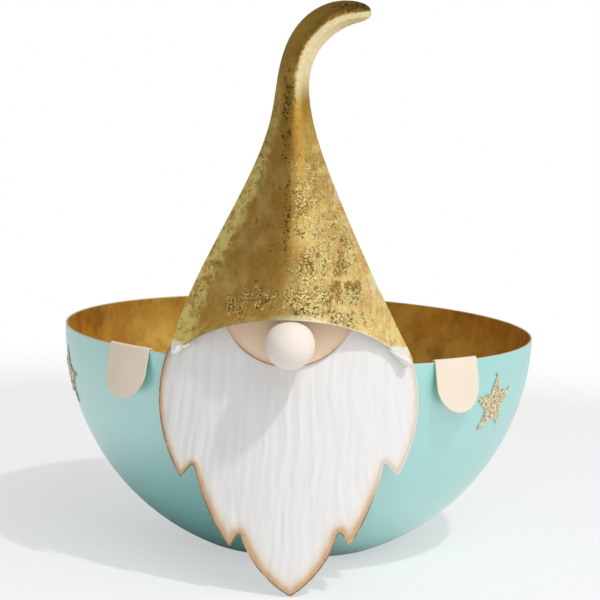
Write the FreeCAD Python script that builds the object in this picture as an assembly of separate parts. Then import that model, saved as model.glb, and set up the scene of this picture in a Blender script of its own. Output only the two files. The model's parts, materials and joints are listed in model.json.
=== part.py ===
"""Tomte gnome bowl: a spun steel bowl with a sheet metal gnome fixed to the front of its rim.

The bowl is most of a sphere with a flat foot. A curved beard plate stands on the outside of the
rim and reaches down to the table. A pressed half-cone hat with a curled tip is welded to the
beard's two upper corners. One screw from behind clamps the face plate and the ball nose to the
beard. Two strips folded over the rim are the hands, and thin glitter stars lie on the bowl.

Millimetres. The origin is the middle of the bowl's foot, +Z is up and the gnome faces -Y.
"""

import FreeCAD
import Part

import math
import os

# Bowl: a spun shell, spherical from the rim down to the rounded corner of its flat foot.
BOWL_RADIUS = 100.0
FOOT_RADIUS = 37.6
FOOT_CORNER = 6.0
BOWL_WALL = 0.8
RIM_ROUNDING = 0.35

# Beard: a plate bent round the rim. Points are half width and height, above the table unless
# they say rim. It leans a little about a point low on its middle line.
BEARD_WALL = 1.0
BEARD_RIM_GAP = 0.3
BEARD_LEAN = -2.9
BEARD_LEAN_HEIGHT = 64.0
BEARD_TIP_HEIGHT = 0.2
BEARD_CORNER_HALF_WIDTH = 46.7
BEARD_CORNER_ABOVE_RIM = 4.6
BEARD_CROWN_ABOVE_RIM = 22.0
BEARD_BELLY = (50.9, 75.0)
UPPER_TOOTH = (42.6, 46.0)
UPPER_NOTCH = (37.3, 52.6)
LOWER_TOOTH = (23.4, 19.5)
LOWER_NOTCH = (19.5, 26.0)
UPPER_FLANK_BULGE = 2.0
LOWER_FLANK_BULGE = 3.1
TOOTH_ROUNDING = 0.6
NOTCH_ROUNDING = 0.9
TIP_ROUNDING = 2.0

# Face: the lower part of a disc, bent to lie on the beard.
FACE_WALL = 1.0
FACE_RADIUS = 27.3
FACE_OFFSET = -1.4
FACE_CENTRE_ABOVE_RIM = 26.2
FACE_TOP_ABOVE_RIM = 18.8

# Nose: a wooden ball with a small flat seat, held by one screw from behind the beard.
NOSE_RADIUS = 9.55
NOSE_SEAT_RADIUS = 3.0
NOSE_ABOVE_RIM = 9.1
SCREW_RADIUS = 1.5
SCREW_HEAD_RADIUS = 2.8
SCREW_HEAD_HEIGHT = 1.8
SCREW_HEAD_EDGE = 0.6
SCREW_REACH_IN_NOSE = 8.0
SCREW_POINT_LENGTH = 1.5
SCREW_HOLE_CLEARANCE = 0.1
NOSE_BORE_CLEARANCE = 0.05

# Hat: a pressed shell, open at the back. Its edges lie in one upright plane. The points of its
# spine hold the offset to the side, the height above the rim, and the hat's half width there.
HAT_WALL = 1.0
HAT_OFFSET = -2.5
HAT_EDGE_BEHIND_BEARD_FRONT = 9.0
HAT_ARCH_ABOVE_RIM = 19.0
HAT_ARCH_RADIUS = 68.0
HAT_SPINE = (
    (2.6, 2.5, 47.2),
    (0.0, 27.0, 36.8),
    (-0.3, 67.0, 17.8),
    (-0.6, 95.0, 7.8),
    (0.3, 114.0, 6.0),
    (5.1, 125.4, 6.2),
    (13.5, 132.7, 5.7),
    (23.4, 135.1, 3.9),
    (27.2, 135.0, 2.3),
    (28.2, 135.0, 1.0),
)
HAT_LEVEL_TO = 97.0
HAT_SECTIONS = 22
HAT_TIP_CROWDING = 1.5
HAT_HOLLOW_TO_HALF_WIDTH = 4.5

# Hat sections: two straight flanks and a round ridge, whose radius is a share of the half width.
# The flanks steepen from the hem to the neck.
HAT_RIDGE_SHARE = 0.7
HAT_HEM_FLANK = 33.0
HAT_NECK_FLANK = 58.0
HAT_NECK_HALF_WIDTH = 6.0
HAT_FLANK_EASE = 0.6

# Hands: strips folded over the rim, with a round end outside and a short leg inside. The outer end
# leans away from the bowl by the flare.
HAND_WIDTH = 22.0
HAND_WALL = 0.6
HAND_GAP = 0.1
HAND_DROP = 20.0
HAND_INNER_LEG = 7.0
HAND_ANGLE = 40.4
HAND_FLARE = 11.0

# Stars: glitter shapes lying on the bowl, at these angles round from the front, each tilted.
STAR_THICKNESS = 0.25
STAR_RADIUS = 13.0
STAR_INNER_RADIUS = 5.6
STAR_POINTS = 5
STAR_BELOW_RIM_ANGLE = 11.8
STARS = (
    ("star_front_right", 56.6, -4.0),
    ("star_back_right", 133.0, -9.0),
    ("star_back_left", -151.0, 7.0),
    ("star_front_left", -75.0, 9.0),
)

# Weld beads: at the hat's corners, along the rim behind the beard, and under the hands' legs.
HAT_WELD_RADIUS = 2.7
HAT_WELD_INSET = 2.2
HAT_WELD_FORWARD = 0.9
RIM_WELD_RADIUS = 1.4
RIM_WELD_ANGLES = (-22.0, 0.0, 22.0)
RIM_WELD_SPAN = 6.0
HAND_WELD_RADIUS = 1.2
HAND_WELD_SPAN = 7.0

# What follows from the sizes above.
FOOT_CENTRE_TO_RIM = math.sqrt((BOWL_RADIUS - FOOT_CORNER) ** 2 - FOOT_RADIUS**2)
RIM_HEIGHT = FOOT_CORNER + FOOT_CENTRE_TO_RIM
BEARD_BACK_RADIUS = BOWL_RADIUS + BEARD_RIM_GAP
BEARD_FRONT_RADIUS = BEARD_BACK_RADIUS + BEARD_WALL
FACE_FRONT_RADIUS = BEARD_FRONT_RADIUS + FACE_WALL
HAT_EDGE_Y = -(BEARD_FRONT_RADIUS - HAT_EDGE_BEHIND_BEARD_FRONT)
NOSE_HEIGHT = RIM_HEIGHT + NOSE_ABOVE_RIM
NOSE_CENTRE_OUT = FACE_FRONT_RADIUS + math.sqrt(NOSE_RADIUS**2 - NOSE_SEAT_RADIUS**2)

UP = FreeCAD.Vector(0, 0, 1)
BACK = FreeCAD.Vector(0, 1, 0)
RIGHT = FreeCAD.Vector(1, 0, 0)
FULL_TURN = 360.0
CUT_MARGIN = 5.0


def point(x, z, y=0.0):
    """A point from its place seen from the front, and its depth."""
    return FreeCAD.Vector(x, y, z)


def turned(shape, centre, axis, degrees):
    """A copy of the shape, turned about an axis through centre."""
    copy = shape.copy()
    copy.rotate(centre, axis, degrees)
    return copy


def line(a, b):
    """A straight edge."""
    return Part.LineSegment(a, b).toShape()


def arc(a, middle, b):
    """A round edge through three points."""
    return Part.Arc(a, middle, b).toShape()


def bulged(a, b, bulge):
    """A round edge from a to b in the front plane, standing out by bulge to the left of a to b."""
    along = (b - a).normalize()
    left = FreeCAD.Vector(-along.z, 0, along.x)
    return arc(a, (a + b) * 0.5 + left * bulge, b)


def prism(edges, y_from, y_to):
    """A solid from an outline in the front plane, standing between two depths."""
    face = Part.Face(Part.Wire(Part.__sortEdges__(edges)))
    face.translate(FreeCAD.Vector(0, y_from, 0))
    return face.extrude(FreeCAD.Vector(0, y_to - y_from, 0))


def revolved(edges, degrees=FULL_TURN):
    """A solid from a profile in the XZ plane, turned about the bowl's axis, centred on +X."""
    face = Part.Face(Part.Wire(Part.__sortEdges__(edges)))
    solid = face.revolve(FreeCAD.Vector(0, 0, 0), UP, degrees)
    if degrees < FULL_TURN:
        solid.rotate(FreeCAD.Vector(0, 0, 0), UP, -degrees / 2)
    return solid


def ring_segment(inner_radius, outer_radius, bottom, top):
    """The front half of an upright tube about the bowl's axis."""
    tube = Part.makeCylinder(outer_radius, top - bottom, point(0, bottom), UP)
    tube = tube.cut(Part.makeCylinder(inner_radius, top - bottom, point(0, bottom), UP))
    front = Part.makeBox(2 * outer_radius, outer_radius, top - bottom)
    front.translate(FreeCAD.Vector(-outer_radius, -outer_radius, bottom))
    return tube.common(front)


def leaning(shape):
    """Leans a shape with the beard."""
    return turned(shape, point(0, BEARD_LEAN_HEIGHT), BACK, BEARD_LEAN)


def rounded(solid, places, radius):
    """Rounds the edges that run front to back through the given places of an outline."""
    chosen = []
    for edge in solid.Edges:
        middle = edge.CenterOfMass
        if len(edge.Vertexes) != 2:
            continue
        ends = edge.Vertexes[1].Point - edge.Vertexes[0].Point
        if abs(ends.x) + abs(ends.z) > 1e-6:
            continue
        if any(abs(middle.x - x) + abs(middle.z - z) < 1e-3 for x, z in places):
            chosen.append(edge)
    return solid.makeFillet(radius, chosen)


def both_sides(*places):
    """Each place of an outline and its mirror image."""
    return [(side * x, z) for x, z in places for side in (1, -1)]


def main_solid(shape):
    """The largest solid of a shape."""
    return max(shape.Solids, key=lambda solid: solid.Volume)


def make_bowl():
    """The spun bowl: sphere, rounded corner and flat foot, with an even wall."""
    sphere_centre = point(0, RIM_HEIGHT)
    corner_centre = point(FOOT_RADIUS, FOOT_CORNER)
    outwards = (corner_centre - sphere_centre).normalize()
    halfway = (outwards - UP).normalize()
    corner_angle = math.atan2(-outwards.z, outwards.x)
    middle_angle = corner_angle / 2

    def skin(inset):
        """Foot, corner and sphere of one side of the wall, from the axis to the rim."""
        radius = BOWL_RADIUS - inset
        foot_end = corner_centre - UP * (FOOT_CORNER - inset)
        corner_end = corner_centre + outwards * (FOOT_CORNER - inset)
        on_sphere = point(radius * math.cos(middle_angle), 0) - UP * radius * math.sin(middle_angle)
        return [
            line(point(0, inset), foot_end),
            arc(foot_end, corner_centre + halfway * (FOOT_CORNER - inset), corner_end),
            arc(corner_end, sphere_centre + on_sphere, point(radius, RIM_HEIGHT)),
        ]

    rim = line(point(BOWL_RADIUS, RIM_HEIGHT), point(BOWL_RADIUS - BOWL_WALL, RIM_HEIGHT))
    axis = line(point(0, 0), point(0, BOWL_WALL))
    solid = revolved(skin(0.0) + [rim] + skin(BOWL_WALL) + [axis])
    rim_edges = [
        edge
        for edge in solid.Edges
        if abs(edge.BoundBox.ZMin - RIM_HEIGHT) < 1e-6 and edge.BoundBox.ZLength < 1e-6
    ]
    return solid.makeFillet(RIM_ROUNDING, rim_edges)


def beard_outline():
    """The beard's outline as a block from front to back, with its points and notches rounded."""
    corner_height = RIM_HEIGHT + BEARD_CORNER_ABOVE_RIM
    crown = point(0, RIM_HEIGHT + BEARD_CROWN_ABOVE_RIM)
    tip = point(0, BEARD_TIP_HEIGHT)
    edges = []
    for side in (1, -1):
        corner = point(side * BEARD_CORNER_HALF_WIDTH, corner_height)
        belly = point(side * BEARD_BELLY[0], BEARD_BELLY[1])
        upper_tooth = point(side * UPPER_TOOTH[0], UPPER_TOOTH[1])
        upper_notch = point(side * UPPER_NOTCH[0], UPPER_NOTCH[1])
        lower_tooth = point(side * LOWER_TOOTH[0], LOWER_TOOTH[1])
        lower_notch = point(side * LOWER_NOTCH[0], LOWER_NOTCH[1])
        edges += [
            arc(corner, belly, upper_tooth),
            line(upper_tooth, upper_notch),
            bulged(upper_notch, lower_tooth, side * UPPER_FLANK_BULGE),
            line(lower_tooth, lower_notch),
            bulged(lower_notch, tip, side * LOWER_FLANK_BULGE),
        ]
    left_corner = point(-BEARD_CORNER_HALF_WIDTH, corner_height)
    edges.append(arc(left_corner, crown, point(BEARD_CORNER_HALF_WIDTH, corner_height)))
    block = prism(edges, -BEARD_FRONT_RADIUS - CUT_MARGIN, 0)
    block = rounded(block, both_sides(UPPER_TOOTH, LOWER_TOOTH), TOOTH_ROUNDING)
    block = rounded(block, both_sides(UPPER_NOTCH, LOWER_NOTCH), NOTCH_ROUNDING)
    return rounded(block, [(0, BEARD_TIP_HEIGHT)], TIP_ROUNDING)


def screw_hole(clearance):
    """A cutter along the nose screw's axis."""
    start = point(0, NOSE_HEIGHT, -NOSE_CENTRE_OUT)
    return Part.makeCylinder(SCREW_RADIUS + clearance, NOSE_CENTRE_OUT, start, BACK)


def make_beard():
    """The beard plate: its outline cut from a tube that stands round the rim."""
    top = RIM_HEIGHT + BEARD_CROWN_ABOVE_RIM + CUT_MARGIN
    tube = ring_segment(BEARD_BACK_RADIUS, BEARD_FRONT_RADIUS, -CUT_MARGIN, top)
    plate = tube.common(leaning(beard_outline()))
    return main_solid(plate.cut(screw_hole(SCREW_HOLE_CLEARANCE)))


def make_face():
    """The face plate: a disc with its top cut level, bent round the front of the beard."""
    centre_height = RIM_HEIGHT + FACE_CENTRE_ABOVE_RIM
    top_height = RIM_HEIGHT + FACE_TOP_ABOVE_RIM
    below_centre = centre_height - top_height
    half_width = math.sqrt(FACE_RADIUS**2 - below_centre**2)
    left = point(FACE_OFFSET - half_width, top_height)
    right = point(FACE_OFFSET + half_width, top_height)
    chin = point(FACE_OFFSET, centre_height - FACE_RADIUS)
    block = prism([arc(left, chin, right), line(right, left)], -FACE_FRONT_RADIUS - CUT_MARGIN, 0)
    bottom = chin.z - CUT_MARGIN
    tube = ring_segment(BEARD_FRONT_RADIUS, FACE_FRONT_RADIUS, bottom, top_height + CUT_MARGIN)
    plate = tube.common(block)
    return main_solid(plate.cut(screw_hole(SCREW_HOLE_CLEARANCE)))


def make_nose():
    """The ball nose, flattened at its seat and bored for the screw."""
    centre = point(0, NOSE_HEIGHT, -NOSE_CENTRE_OUT)
    ball = Part.makeSphere(NOSE_RADIUS, centre)
    seat = Part.makeBox(2 * NOSE_RADIUS, NOSE_RADIUS, 2 * NOSE_RADIUS)
    seat.translate(point(-NOSE_RADIUS, NOSE_HEIGHT - NOSE_RADIUS, -FACE_FRONT_RADIUS))
    bore_start = point(0, NOSE_HEIGHT, -FACE_FRONT_RADIUS - SCREW_REACH_IN_NOSE)
    bore_radius = SCREW_RADIUS + NOSE_BORE_CLEARANCE
    bore = Part.makeCylinder(bore_radius, SCREW_REACH_IN_NOSE, bore_start, BACK)
    return ball.cut(seat).cut(bore)


def make_nose_screw():
    """The screw: a domed head against the back of the beard, and a pointed shank."""
    head_y = -math.sqrt(BEARD_BACK_RADIUS**2 - SCREW_HEAD_RADIUS**2)
    point_y = -FACE_FRONT_RADIUS - SCREW_REACH_IN_NOSE
    shank_y = point_y + SCREW_POINT_LENGTH
    height = NOSE_HEIGHT
    dome_rise = SCREW_HEAD_HEIGHT - SCREW_HEAD_EDGE
    dome_radius = (SCREW_HEAD_RADIUS**2 + dome_rise**2) / (2 * dome_rise)
    halfway = math.asin(SCREW_HEAD_RADIUS / dome_radius) / 2

    def at(radius, y):
        return FreeCAD.Vector(radius, y, height)

    profile = [
        line(at(0, point_y), at(SCREW_RADIUS, shank_y)),
        line(at(SCREW_RADIUS, shank_y), at(SCREW_RADIUS, head_y)),
        line(at(SCREW_RADIUS, head_y), at(SCREW_HEAD_RADIUS, head_y)),
        line(at(SCREW_HEAD_RADIUS, head_y), at(SCREW_HEAD_RADIUS, head_y + SCREW_HEAD_EDGE)),
        arc(
            at(SCREW_HEAD_RADIUS, head_y + SCREW_HEAD_EDGE),
            at(
                dome_radius * math.sin(halfway),
                head_y + SCREW_HEAD_HEIGHT - dome_radius * (1 - math.cos(halfway)),
            ),
            at(0, head_y + SCREW_HEAD_HEIGHT),
        ),
        line(at(0, head_y + SCREW_HEAD_HEIGHT), at(0, point_y)),
    ]
    face = Part.Face(Part.Wire(profile))
    return face.revolve(at(0, 0), BACK, FULL_TURN)


def hat_section(place, lean, half_width, inset=0.0, behind=0.0):
    """One cross section of the hat: two straight flanks, a round ridge, and a straight back.

    The section is drawn level with its ridge towards -Y, then leant over and moved to its place.
    inset moves flanks and ridge in by a wall thickness, and behind moves the back line out.
    """
    widening = HAT_SPINE[0][2] - HAT_NECK_HALF_WIDTH
    share = max(0.0, half_width - HAT_NECK_HALF_WIDTH) / widening
    slope = math.radians(
        HAT_NECK_FLANK - (HAT_NECK_FLANK - HAT_HEM_FLANK) * share**HAT_FLANK_EASE
    )
    ridge_radius = HAT_RIDGE_SHARE * half_width
    flat = half_width - ridge_radius * math.sin(slope)
    ridge_centre_y = ridge_radius * math.cos(slope) - flat * math.tan(slope)
    radius = ridge_radius - inset
    edge_half_width = half_width + (behind - inset / math.cos(slope)) / math.tan(slope)
    shoulder_y = ridge_centre_y - radius * math.cos(slope)
    shoulders = [
        FreeCAD.Vector(side * radius * math.sin(slope), shoulder_y, 0) for side in (-1, 1)
    ]
    ends = [FreeCAD.Vector(side * edge_half_width, behind, 0) for side in (-1, 1)]
    ridge = FreeCAD.Vector(0, ridge_centre_y - radius, 0)
    wire = Part.Wire(
        [
            line(ends[0], shoulders[0]),
            arc(shoulders[0], ridge, shoulders[1]),
            line(shoulders[1], ends[1]),
            line(ends[1], ends[0]),
        ]
    )
    wire.rotate(FreeCAD.Vector(0, 0, 0), BACK, lean)
    wire.translate(place)
    return wire


def hat_stations():
    """Place, lean and half width of each section along the spine, closer together at the tip.

    The spine is one smooth curve whose depth axis holds the half width. The sections lie level
    up to the neck, and then square to the spine.
    """
    spine = Part.BSplineCurve()
    spine.interpolate([FreeCAD.Vector(x, half_width, z) for x, z, half_width in HAT_SPINE])
    stations = []
    for i in range(HAT_SECTIONS):
        left_over = (1 - i / (HAT_SECTIONS - 1)) ** HAT_TIP_CROWDING
        parameter = spine.parameterAtDistance(spine.length() * (1 - left_over))
        at = spine.value(parameter)
        along = spine.tangent(parameter)[0]
        lean = math.degrees(math.atan2(along.x, along.z)) if at.z > HAT_LEVEL_TO else 0.0
        place = point(HAT_OFFSET + at.x, RIM_HEIGHT + at.z, HAT_EDGE_Y)
        stations.append((place, lean, at.y))
    return stations


def hat_arch():
    """What is cut away under the hat's round hem."""
    centre = point(0, RIM_HEIGHT + HAT_ARCH_ABOVE_RIM - HAT_ARCH_RADIUS)
    return Part.makeCylinder(
        HAT_ARCH_RADIUS, 2 * BOWL_RADIUS, centre - BACK * 2 * BOWL_RADIUS, BACK
    )


def make_hat():
    """The hat: a skin lofted from hem to tip, hollowed from behind, and arched at its hem."""
    stations = hat_stations()
    skin = Part.makeLoft([hat_section(*station) for station in stations], True, False)
    hem, lean, half_width = stations[0]
    flare = (half_width - stations[1][2]) / (stations[1][0].z - hem.z)
    below = (hem - UP * CUT_MARGIN, lean, half_width + CUT_MARGIN * flare)
    wide = [station for station in stations if station[2] > HAT_HOLLOW_TO_HALF_WIDTH]
    inside = [hat_section(*station, HAT_WALL, HAT_WALL) for station in [below] + wide]
    hollow = Part.makeLoft(inside, True, False)
    return main_solid(skin.cut(hollow).cut(hat_arch()))


def make_hand(side):
    """A hand: a strip bent over the rim, with its outer end cut round.

    Its outer end flares away from the bowl. Its short inner leg follows the inside.
    """
    rim_middle = BOWL_RADIUS - BOWL_WALL / 2
    bend_inner = BOWL_WALL / 2 + HAND_GAP
    bend_outer = bend_inner + HAND_WALL
    bottom = RIM_HEIGHT - HAND_DROP
    leg_angle = math.asin(HAND_INNER_LEG / BOWL_RADIUS)
    flare = math.radians(HAND_FLARE)

    def at(out, z):
        return point(rim_middle + out, z)

    def fold_end(radius):
        return at(radius * math.cos(flare), RIM_HEIGHT + radius * math.sin(flare))

    def tip(radius):
        start = fold_end(radius)
        return point(start.x + (start.z - bottom) * math.tan(flare), bottom)

    def on_leg(out, share):
        radius = rim_middle + out
        angle = leg_angle * share
        return point(radius * math.cos(angle), RIM_HEIGHT - radius * math.sin(angle))

    profile = [
        line(tip(bend_outer), fold_end(bend_outer)),
        arc(
            fold_end(bend_outer),
            at(0, RIM_HEIGHT + bend_outer),
            at(-bend_outer, RIM_HEIGHT),
        ),
        arc(on_leg(-bend_outer, 0), on_leg(-bend_outer, 0.5), on_leg(-bend_outer, 1)),
        line(on_leg(-bend_outer, 1), on_leg(-bend_inner, 1)),
        arc(on_leg(-bend_inner, 1), on_leg(-bend_inner, 0.5), on_leg(-bend_inner, 0)),
        arc(
            at(-bend_inner, RIM_HEIGHT),
            at(0, RIM_HEIGHT + bend_inner),
            fold_end(bend_inner),
        ),
        line(fold_end(bend_inner), tip(bend_inner)),
        line(tip(bend_inner), tip(bend_outer)),
    ]
    half = HAND_WIDTH / 2
    strip = revolved(profile, 3 * math.degrees(math.asin(half / rim_middle)))
    strip.rotate(FreeCAD.Vector(0, 0, 0), UP, -90)
    top = RIM_HEIGHT + bend_outer + CUT_MARGIN
    round_centre = bottom + half
    outline = [
        arc(point(-half, round_centre), point(0, bottom), point(half, round_centre)),
        line(point(half, round_centre), point(half, top)),
        line(point(half, top), point(-half, top)),
        line(point(-half, top), point(-half, round_centre)),
    ]
    tab = strip.common(prism(outline, -tip(bend_outer).x - CUT_MARGIN, 0))
    return turned(main_solid(tab), FreeCAD.Vector(0, 0, 0), UP, side * HAND_ANGLE)


def make_star(angle, tilt):
    """A star lying on the bowl, as thick as its glitter."""
    corners = []
    for i in range(2 * STAR_POINTS):
        radius = STAR_INNER_RADIUS if i % 2 else STAR_RADIUS
        turn = math.radians(tilt) + math.pi * i / STAR_POINTS
        corners.append(point(radius * math.sin(turn), RIM_HEIGHT + radius * math.cos(turn)))
    edges = [line(a, b) for a, b in zip(corners, corners[1:] + corners[:1])]
    block = prism(edges, -BOWL_RADIUS - CUT_MARGIN, -BOWL_RADIUS / 2)
    centre = point(0, RIM_HEIGHT)
    layer = Part.makeSphere(BOWL_RADIUS + STAR_THICKNESS, centre)
    layer = layer.cut(Part.makeSphere(BOWL_RADIUS, centre))
    star = turned(main_solid(layer.common(block)), centre, RIGHT, STAR_BELOW_RIM_ANGLE)
    return turned(star, FreeCAD.Vector(0, 0, 0), UP, angle)


def bead(out_radius, height, radius, span):
    """A weld bead: a short round rod bent about the bowl's axis, at the front."""
    centre = point(out_radius, height)
    rod = revolved([Part.Circle(centre, BACK, radius).toShape()], span)
    rod.rotate(FreeCAD.Vector(0, 0, 0), UP, -90)
    return rod


def make_hat_welds(hat, beard):
    """A blob in front of each upper corner of the beard, filling the gap to the hat."""
    blobs = []
    for side in (1, -1):
        x = side * (BEARD_CORNER_HALF_WIDTH - HAT_WELD_INSET)
        y = HAT_EDGE_Y - HAT_WELD_FORWARD
        centre = point(x, RIM_HEIGHT + BEARD_CORNER_ABOVE_RIM, y)
        # The sphere's poles and seam point askew, clear of both sheets' edges.
        blob = Part.makeSphere(HAT_WELD_RADIUS, centre, FreeCAD.Vector(0.3, -0.8, 0.52))
        blobs.append(main_solid(leaning(blob).cut(hat).cut(beard)))
    return Part.makeCompound(blobs)


def make_rim_welds(bowl, beard):
    """Short beads in the corner between the rim and the back of the beard."""
    beads = []
    for angle in RIM_WELD_ANGLES:
        rod = bead(BEARD_BACK_RADIUS - RIM_WELD_RADIUS / 2, RIM_HEIGHT, RIM_WELD_RADIUS, RIM_WELD_SPAN)
        rod = turned(rod, FreeCAD.Vector(0, 0, 0), UP, angle)
        beads.append(main_solid(rod.cut(bowl).cut(beard)))
    return Part.makeCompound(beads)


def make_hand_welds(bowl, hands):
    """A bead under each hand's inner leg, on the inside of the bowl."""
    leg_end = RIM_HEIGHT - HAND_INNER_LEG
    wall_inside = math.sqrt((BOWL_RADIUS - BOWL_WALL) ** 2 - HAND_INNER_LEG**2)
    beads = []
    for side, hand in zip((-1, 1), hands):
        rod = bead(wall_inside - HAND_WALL / 2, leg_end, HAND_WELD_RADIUS, HAND_WELD_SPAN)
        rod = turned(rod, FreeCAD.Vector(0, 0, 0), UP, side * HAND_ANGLE)
        beads.append(main_solid(rod.cut(bowl).cut(hand)))
    return Part.makeCompound(beads)


def make_parts():
    """Every piece by its node's name."""
    bowl = make_bowl()
    beard = make_beard()
    hat = make_hat()
    hands = [make_hand(-1), make_hand(1)]
    parts = {
        "bowl": bowl,
        "beard": beard,
        "face": make_face(),
        "nose": make_nose(),
        "nose_screw": make_nose_screw(),
        "hat": hat,
        "hand_left": hands[0],
        "hand_right": hands[1],
        "hat_welds": make_hat_welds(hat, beard),
        "rim_welds": make_rim_welds(bowl, beard),
        "hand_welds": make_hand_welds(bowl, hands),
    }
    for name, angle, tilt in STARS:
        parts[name] = make_star(angle, tilt)
    return parts


def main():
    """Builds the pieces and writes one STEP file for each."""
    os.makedirs("parts", exist_ok=True)
    for name, shape in make_parts().items():
        shape.exportStep(os.path.join("parts", name + ".step"))
        print(name, "solids", len(shape.Solids), "volume", round(shape.Volume, 1))


main()
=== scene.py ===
"""Looks of the tomte gnome bowl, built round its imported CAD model.

Everything is in metres, in the model's own frame: the origin is the middle of the bowl's foot,
+Z is up and the gnome faces -Y. Sizes in the finishes are millimetres, because their patterns
are laid out on millimetre coordinates.
"""

from __future__ import annotations

import json
import logging
import math
import random
from dataclasses import dataclass
from enum import Enum
from typing import Any, Callable, Sequence

import bmesh
import bpy
from mathutils import Matrix, Vector, kdtree, noise

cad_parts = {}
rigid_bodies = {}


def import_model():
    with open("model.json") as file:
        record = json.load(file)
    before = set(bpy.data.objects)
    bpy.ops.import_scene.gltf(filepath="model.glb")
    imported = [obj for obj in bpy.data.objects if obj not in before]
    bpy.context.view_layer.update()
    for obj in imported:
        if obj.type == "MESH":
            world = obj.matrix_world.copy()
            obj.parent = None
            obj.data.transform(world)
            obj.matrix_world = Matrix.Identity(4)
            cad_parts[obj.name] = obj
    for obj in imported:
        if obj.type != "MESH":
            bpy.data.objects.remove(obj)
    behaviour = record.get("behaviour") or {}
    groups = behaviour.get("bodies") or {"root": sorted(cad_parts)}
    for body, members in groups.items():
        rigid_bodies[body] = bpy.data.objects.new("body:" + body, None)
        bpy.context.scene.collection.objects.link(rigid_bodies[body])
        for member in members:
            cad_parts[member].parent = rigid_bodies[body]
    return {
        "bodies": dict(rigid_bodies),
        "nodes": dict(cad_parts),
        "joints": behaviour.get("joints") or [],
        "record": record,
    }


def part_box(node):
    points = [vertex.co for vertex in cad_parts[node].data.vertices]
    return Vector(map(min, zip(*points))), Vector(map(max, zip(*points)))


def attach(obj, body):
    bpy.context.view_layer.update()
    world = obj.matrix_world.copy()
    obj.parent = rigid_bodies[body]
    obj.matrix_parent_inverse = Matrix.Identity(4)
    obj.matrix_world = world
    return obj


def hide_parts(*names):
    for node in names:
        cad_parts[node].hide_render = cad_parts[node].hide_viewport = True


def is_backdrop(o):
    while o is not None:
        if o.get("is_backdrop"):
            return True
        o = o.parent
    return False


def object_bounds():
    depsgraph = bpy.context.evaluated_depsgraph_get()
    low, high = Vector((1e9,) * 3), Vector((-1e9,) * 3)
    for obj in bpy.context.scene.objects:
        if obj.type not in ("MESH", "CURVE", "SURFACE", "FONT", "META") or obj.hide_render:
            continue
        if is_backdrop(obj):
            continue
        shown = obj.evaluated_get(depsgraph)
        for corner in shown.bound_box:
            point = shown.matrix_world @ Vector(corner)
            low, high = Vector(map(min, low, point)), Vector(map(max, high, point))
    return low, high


LOG = logging.getLogger("gnome_bowl")
MM = 0.001
BODY = "root"
RIM_HEIGHT_MM = 92.15  # The middle of the bowl's sphere is level with its rim.
WHITE = (1.0, 1.0, 1.0)
Point = Colour = tuple[float, float, float]
Tones = tuple[Colour, Colour]
Rows = tuple[tuple[float, float, float, float], ...]


class Slot(Enum):
    """The record's material slots."""

    AQUA = "aqua_paint"
    WHITE = "white_paint"
    SKIN = "skin_paint"
    NOSE = "nose_paint"
    STEEL = "bright_steel"
    GOLD = "gold_leaf"
    GLITTER = "glitter"


# ---------------------------------------------------------------- shader arithmetic


def operator(operation: str, swapped: bool = False) -> Callable[[Wire, Any], Wire]:
    """Makes a method of Wire from one of the Math node's operations.

    Args:
        operation: the node's name for it.
        swapped: whether the other value comes first.

    Returns:
        The method, which adds the node on the Wire and another value.
    """

    def method(wire: Wire, other: Any) -> Wire:
        """The operation on both values."""
        values = (other, wire) if swapped else (wire, other)
        return wire.graph.add("Math", {"operation": operation}, dict(enumerate(values)))

    return method


class Wire:
    """A shader output on which Python's arithmetic works."""

    def __init__(self, graph: Graph, socket: bpy.types.NodeSocket) -> None:
        """Keeps the socket and the graph that it belongs to."""
        self.graph = graph
        self.socket = socket

    __add__ = operator("ADD")
    __radd__ = operator("ADD", swapped=True)
    __sub__ = operator("SUBTRACT")
    __rsub__ = operator("SUBTRACT", swapped=True)
    __mul__ = operator("MULTIPLY")
    __truediv__ = operator("DIVIDE")
    __pow__ = operator("POWER")
    larger = operator("MAXIMUM")


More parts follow.
